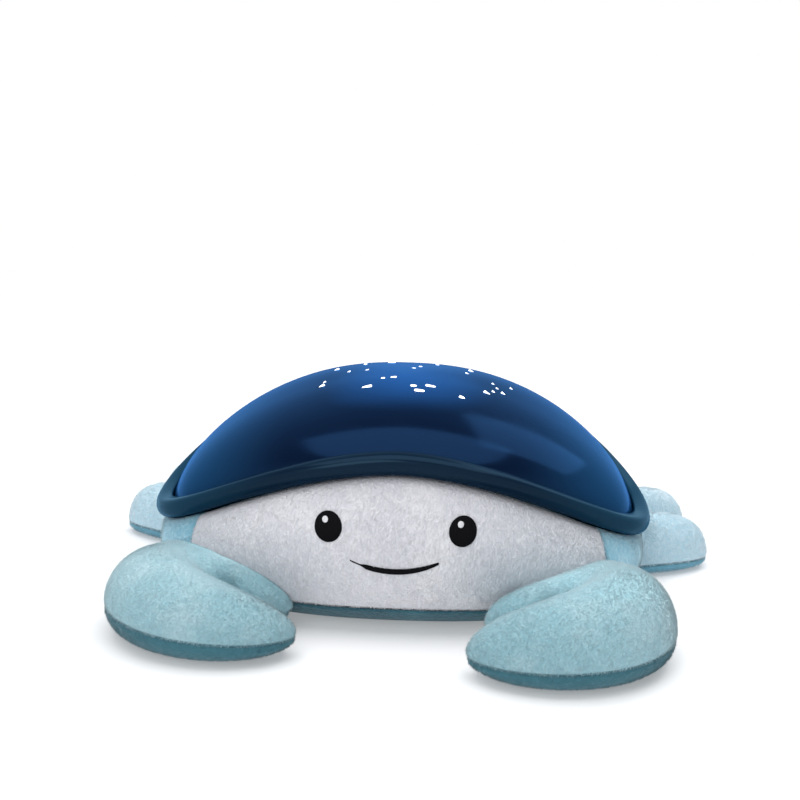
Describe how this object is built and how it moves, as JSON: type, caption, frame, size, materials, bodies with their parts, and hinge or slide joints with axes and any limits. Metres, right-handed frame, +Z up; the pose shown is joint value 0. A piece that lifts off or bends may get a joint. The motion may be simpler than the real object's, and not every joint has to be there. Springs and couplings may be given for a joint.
{
  "type": "plush crab ocean wave projector",
  "caption": "Stuffed crab night light with a tinted pierced shell that throws moving water ripples from a lamp and a geared disc.",
  "frame": {"origin": "on the floor, under the middle of the whole crab's outline", "axes": "+X to the crab's left, +Y to its back, so the face looks to -Y, +Z up"},
  "size_m": [0.2975, 0.2532, 0.101],
  "materials": {
    "plush_blue": "short pile plush",
    "plush_white": "short pile plush",
    "belly_teal": "quilted short pile",
    "thread_black": "satin stitch",
    "shell_tint": "gloss translucent",
    "rim_tint": "gloss",
    "window_clear": "gloss clear",
    "disc_clear": "gloss clear",
    "housing": "fine texture",
    "mask_black": "matte",
    "gear_white": "satin",
    "button_grey": "satin",
    "board": "solder mask",
    "component_black": "matte",
    "led_white": "diffused",
    "cone_grey": "matte",
    "cell_wrap": "printed film, plain",
    "steel": "bright",
    "brass": "turned"
  },
  "bodies": {
    "crab": {"plush_body": "plush_blue", "face_panel": "plush_white", "belly_panel": "belly_teal", "left_claw": "plush_blue", "right_claw": "plush_blue", "left_front_leg": "plush_blue", "left_rear_leg": "plush_blue", "right_front_leg": "plush_blue", "right_rear_leg": "plush_blue", "left_eye": "thread_black", "right_eye": "thread_black", "mouth": "thread_black", "shell_dome": "shell_tint", "rim_shell": "rim_tint", "base_tub": "housing", "projection_windows": "window_clear", "aperture_mask": "mask_black", "mechanism_deck": "housing", "mask_screws": "steel", "deck_screws": "steel", "tub_screws": "steel", "motor_can": "steel", "main_board": "board", "board_screws": "steel", "board_parts": "component_black", "lamp_leds": "led_white", "light_cone": "gear_white", "speaker_frame": "component_black", "speaker_cone": "cone_grey", "speaker_magnet": "steel", "battery_cells": "cell_wrap", "contact_springs": "steel", "contact_plates": "steel", "door_hinge_pin": "steel", "button_board": "board", "tact_switches": "component_black", "microphone": "steel", "button_bracket": "housing", "bracket_screws": "steel", "mode_switch": "component_black"},
    "battery_door": {"battery_door": "housing", "door_screw": "steel"},
    "light_button": {"light_button": "button_grey"},
    "sound_button": {"sound_button": "button_grey"},
    "volume_up_button": {"volume_up_button": "button_grey"},
    "volume_down_button": {"volume_down_button": "button_grey"},
    "mode_slider": {"mode_slider": "component_black"},
    "ripple_disc": {"ripple_disc": "disc_clear", "ring_gear": "gear_white"},
    "idler": {"idler_gear": "gear_white", "idler_shaft": "steel", "idler_pinion": "gear_white"},
    "motor_rotor": {"motor_shaft": "steel", "motor_pinion": "brass"}
  },
  "joints": [
    {"name": "disc_spin", "type": "hinge", "parent": "crab", "child": "ripple_disc", "pos_m": [-0.004, 0.021, 0.053], "axis": [0, 0, 1], "continuous": true},
    {"name": "idler_spin", "type": "hinge", "parent": "crab", "child": "idler", "pos_m": [-0.042, 0.021, 0.049], "axis": [0, 0, 1], "continuous": true},
    {"name": "motor_spin", "type": "hinge", "parent": "crab", "child": "motor_rotor", "pos_m": [-0.05405, 0.0382, 0.05], "axis": [0, 0, 1], "continuous": true},
    {"name": "door_hinge", "type": "hinge", "parent": "crab", "child": "battery_door", "pos_m": [-0.05345, 0.021, 0.007], "axis": [0, 1, 0], "range_deg": [0, 95]},
    {"name": "light_press", "type": "slide", "parent": "crab", "child": "light_button", "axis": [0, -0.5, -0.866], "range_m": [0, 0.0012], "stiffness_N_per_m": 300},
    {"name": "sound_press", "type": "slide", "parent": "crab", "child": "sound_button", "axis": [0, -0.5, -0.866], "range_m": [0, 0.0012], "stiffness_N_per_m": 300},
    {"name": "volume_up_press", "type": "slide", "parent": "crab", "child": "volume_up_button", "axis": [0, -0.5, -0.866], "range_m": [0, 0.0012], "stiffness_N_per_m": 300},
    {"name": "volume_down_press", "type": "slide", "parent": "crab", "child": "volume_down_button", "axis": [0, -0.5, -0.866], "range_m": [0, 0.0012], "stiffness_N_per_m": 300},
    {"name": "mode_slide", "type": "slide", "parent": "crab", "child": "mode_slider", "axis": [1, 0, 0], "range_m": [-0.003, 0.003]}
  ],
  "couplings": [
    {"joint": "idler_spin", "follows": "disc_spin", "ratio": -5.3333},
    {"joint": "motor_spin", "follows": "disc_spin", "ratio": 13.333}
  ]
}
